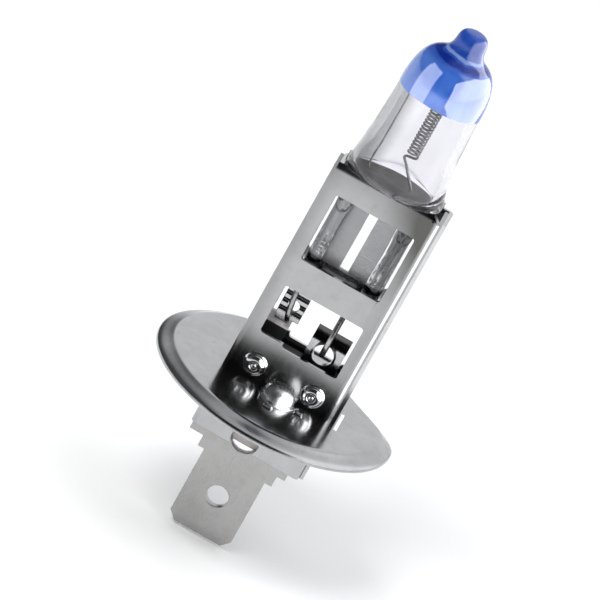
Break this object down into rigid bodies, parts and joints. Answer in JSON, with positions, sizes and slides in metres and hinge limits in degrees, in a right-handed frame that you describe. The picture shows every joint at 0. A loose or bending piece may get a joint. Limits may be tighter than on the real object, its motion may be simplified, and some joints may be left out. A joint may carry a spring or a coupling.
{
  "type": "headlight bulb",
  "caption": "Halogen headlight bulb: glass tube with blue-tinted tip and axial coil, sheet-metal shell with windows, round prefocus flange, blade terminal.",
  "frame": {"origin": "on the bulb's axis, in the plane of the flange's top face, which is the reference plane of the base", "axes": "+Z along the bulb's axis towards the glass tip, -Y out of the broad shell face that has the braze bead at its foot, +X out of the narrow side where the rear shell half wraps outside the front half"},
  "size_m": [0.0232, 0.0232, 0.0536],
  "materials": {
    "nickel": "glossy nickel plating on pressed steel",
    "bright_nickel": "bright smooth nickel",
    "blade": "satin nickel plating with fine lengthwise marks",
    "steatite": "unglazed white technical ceramic",
    "lead_wire": "drawn molybdenum wire",
    "foil": "rolled molybdenum foil",
    "quartz": "clear fused quartz",
    "blue_film": "translucent blue interference film",
    "tungsten": "drawn tungsten wire"
  },
  "bodies": {
    "root": {"flange_disc": "nickel", "braze_bead": "bright_nickel", "front_shell": "nickel", "rear_shell": "nickel", "front_weld_dimples": "bright_nickel", "rear_weld_dimples": "bright_nickel", "ceramic_insulator": "steatite", "terminal_clip_front": "nickel", "terminal_clip_rear": "nickel", "blade_terminal": "blade", "live_strip": "nickel", "ground_tab": "nickel", "left_outer_lead": "lead_wire", "right_outer_lead": "lead_wire", "left_foil": "foil", "right_foil": "foil", "glass_envelope": "quartz", "blue_coating": "blue_film", "filament": "tungsten", "long_inner_lead": "tungsten", "short_inner_lead": "tungsten"}
  },
  "joints": []
}
